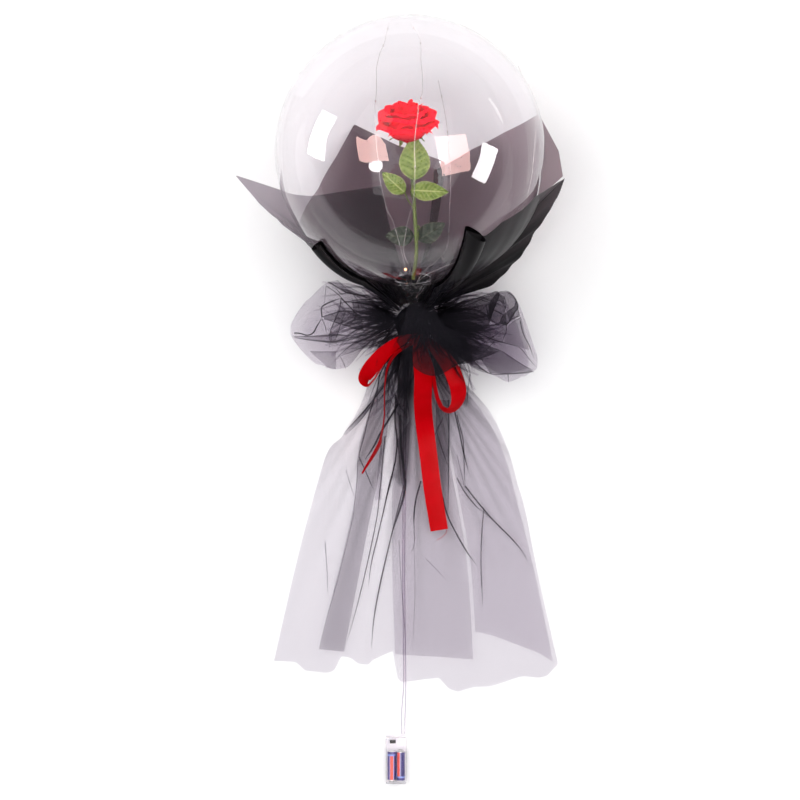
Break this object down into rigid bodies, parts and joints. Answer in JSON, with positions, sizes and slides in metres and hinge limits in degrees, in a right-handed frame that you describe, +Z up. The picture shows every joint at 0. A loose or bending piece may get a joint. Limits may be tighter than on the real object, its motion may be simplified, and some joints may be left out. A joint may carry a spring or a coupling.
{
  "type": "light-up balloon bouquet",
  "caption": "Clear ball balloon over a rose and light string, cupped in dark film, tied with a tulle bow, satin ribbon and long skirt, with leads to a case of cells.",
  "frame": {"origin": "on the floor under the balloon's centre, in the middle of the film's flat spot", "axes": "+Y from the tie towards the balloon's crown, +Z up, out of the bouquet's front"},
  "size_m": [0.5374, 1.2654, 0.4338],
  "materials": {
    "clear_balloon_skin": "clear gloss film",
    "dark_film": "matte translucent film",
    "black_tulle": "open net",
    "red_satin": "satin",
    "clear_lead": "clear sleeve over fine wire",
    "clear_plastic": "clear gloss",
    "cell_sleeve": null,
    "black_plastic": "matte"
  },
  "bodies": {
    "bouquet": {"balloon": "clear_balloon_skin", "film_back_right": "dark_film", "film_back_left": "dark_film", "film_left": "dark_film", "film_front_right": "dark_film", "tulle_knot": "black_tulle", "bow_puff_left": "black_tulle", "bow_puff_right": "black_tulle", "bow_flap": "black_tulle", "skirt_back": "black_tulle", "skirt_streamer": "black_tulle", "skirt_front": "black_tulle", "skirt_side": "black_tulle", "satin_ribbon": "red_satin", "lead_wire_left": "clear_lead", "lead_wire_right": "clear_lead", "battery_case": "clear_plastic", "battery_cover": "clear_plastic", "battery_cell_left": "cell_sleeve", "battery_cell_right": "cell_sleeve"},
    "switch": {"switch_slider": "black_plastic"}
  },
  "joints": [
    {"name": "switch_slide", "type": "slide", "parent": "bouquet", "child": "switch", "axis": [1, 0, 0], "range_m": [0, 0.0025]}
  ]
}
